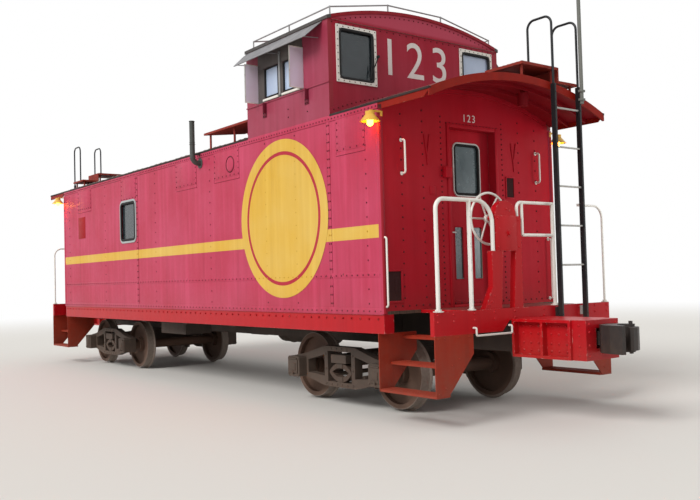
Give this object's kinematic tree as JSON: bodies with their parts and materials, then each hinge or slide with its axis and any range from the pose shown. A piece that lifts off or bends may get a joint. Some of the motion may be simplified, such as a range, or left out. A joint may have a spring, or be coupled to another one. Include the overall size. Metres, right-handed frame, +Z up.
{
  "type": "railway caboose",
  "caption": "Full-size steel cupola caboose on two swivelling trucks, with open end platforms, steps, ladders, hand brakes and hinged end doors.",
  "frame": {"origin": "on the ground under the middle of the car, where the wheel flanges stand", "axes": "+X along the car towards its front platform, +Y across it, +Z up"},
  "size_m": [14.284, 3.34, 5.1268],
  "materials": {
    "red_side": "sun-faded red paint on riveted steel sheet",
    "red_end": "red paint, satin",
    "red_frame": "bright red paint on heavy steel",
    "orange_red": "orange-red paint",
    "black_iron": "black paint on cast and rolled steel",
    "truck_iron": "black cast steel with rust and dust",
    "wheel_steel": "dark rusted wheel steel with worn treads",
    "white_paint": "white paint on pipe and bar",
    "grey_metal": "weathered grey sheet metal",
    "dark_metal": "dark grey flue pipe",
    "yellow_paint": "yellow enamel",
    "window_glass": "tinted safety glass",
    "floor_steel": "painted floor plate",
    "seat_cover": "dark covered seats"
  },
  "bodies": {
    "root": {"air_tank": "black_iron", "awnings": "grey_metal", "battery_box": "black_iron", "body_bolsters": "black_iron", "brake_cylinder": "black_iron", "brake_stands": "red_frame", "brake_wheels": "white_paint", "canopies": "orange_red", "centre_plates": "black_iron", "centre_sill": "black_iron", "couplers": "black_iron", "cross_bearers": "black_iron", "cupola_handrail": "grey_metal", "cupola_roof": "red_side", "cupola_seats": "seat_cover", "cupola_side_left": "red_side", "cupola_side_right": "red_side", "cupola_wall_front": "red_end", "cupola_wall_rear": "red_end", "draft_gears": "red_frame", "end_wall_front": "red_end", "end_wall_rear": "red_end", "floor": "floor_steel", "grab_irons": "white_paint", "hinges": "red_end", "knuckles": "black_iron", "ladders": "black_iron", "marker_lamps": "yellow_paint", "platform_lamps": "red_frame", "platforms": "red_frame", "radio_mast": "grey_metal", "railings": "white_paint", "roof": "red_side", "roof_walks": "red_frame", "side_sills": "red_frame", "side_wall_left": "red_side", "side_wall_right": "red_side", "steps": "orange_red", "stove_pipe": "dark_metal", "uncoupling_levers": "white_paint", "wind_wings": "window_glass", "window_frames": "white_paint", "window_glass": "window_glass"},
    "truck_front": {"side_frames_front": "truck_iron", "truck_bolster_front": "truck_iron", "springs_front": "truck_iron", "brake_beams_front": "truck_iron"},
    "truck_rear": {"side_frames_rear": "truck_iron", "truck_bolster_rear": "truck_iron", "springs_rear": "truck_iron", "brake_beams_rear": "truck_iron"},
    "door_front": {"door_front": "red_end", "door_glass_front": "window_glass"},
    "door_rear": {"door_rear": "red_end", "door_glass_rear": "window_glass"},
    "wheelset_front_outer": {"wheelset_front_outer": "wheel_steel"},
    "wheelset_front_inner": {"wheelset_front_inner": "wheel_steel"},
    "wheelset_rear_outer": {"wheelset_rear_outer": "wheel_steel"},
    "wheelset_rear_inner": {"wheelset_rear_inner": "wheel_steel"}
  },
  "joints": [
    {"name": "truck_swivel_front", "type": "hinge", "parent": "root", "child": "truck_front", "pos_m": [3.69, 0, 0.667], "axis": [0, 0, 1], "range_deg": [-5, 5]},
    {"name": "axle_front_outer", "type": "hinge", "parent": "truck_front", "child": "wheelset_front_outer", "pos_m": [4.528, 0, 0.446], "axis": [0, 1, 0], "continuous": true},
    {"name": "axle_front_inner", "type": "hinge", "parent": "truck_front", "child": "wheelset_front_inner", "pos_m": [2.852, 0, 0.446], "axis": [0, 1, 0], "continuous": true},
    {"name": "door_hinge_front", "type": "hinge", "parent": "root", "child": "door_front", "pos_m": [4.88, 0.413, 1.193], "axis": [0, 0, -1], "range_deg": [0, 90]},
    {"name": "truck_swivel_rear", "type": "hinge", "parent": "root", "child": "truck_rear", "pos_m": [-3.69, 0, 0.667], "axis": [0, 0, 1], "range_deg": [-5, 5]},
    {"name": "axle_rear_outer", "type": "hinge", "parent": "truck_rear", "child": "wheelset_rear_outer", "pos_m": [-4.528, 0, 0.446], "axis": [0, 1, 0], "continuous": true},
    {"name": "axle_rear_inner", "type": "hinge", "parent": "truck_rear", "child": "wheelset_rear_inner", "pos_m": [-2.852, 0, 0.446], "axis": [0, 1, 0], "continuous": true},
    {"name": "door_hinge_rear", "type": "hinge", "parent": "root", "child": "door_rear", "pos_m": [-4.88, -0.413, 1.193], "axis": [0, 0, -1], "range_deg": [0, 90]}
  ]
}
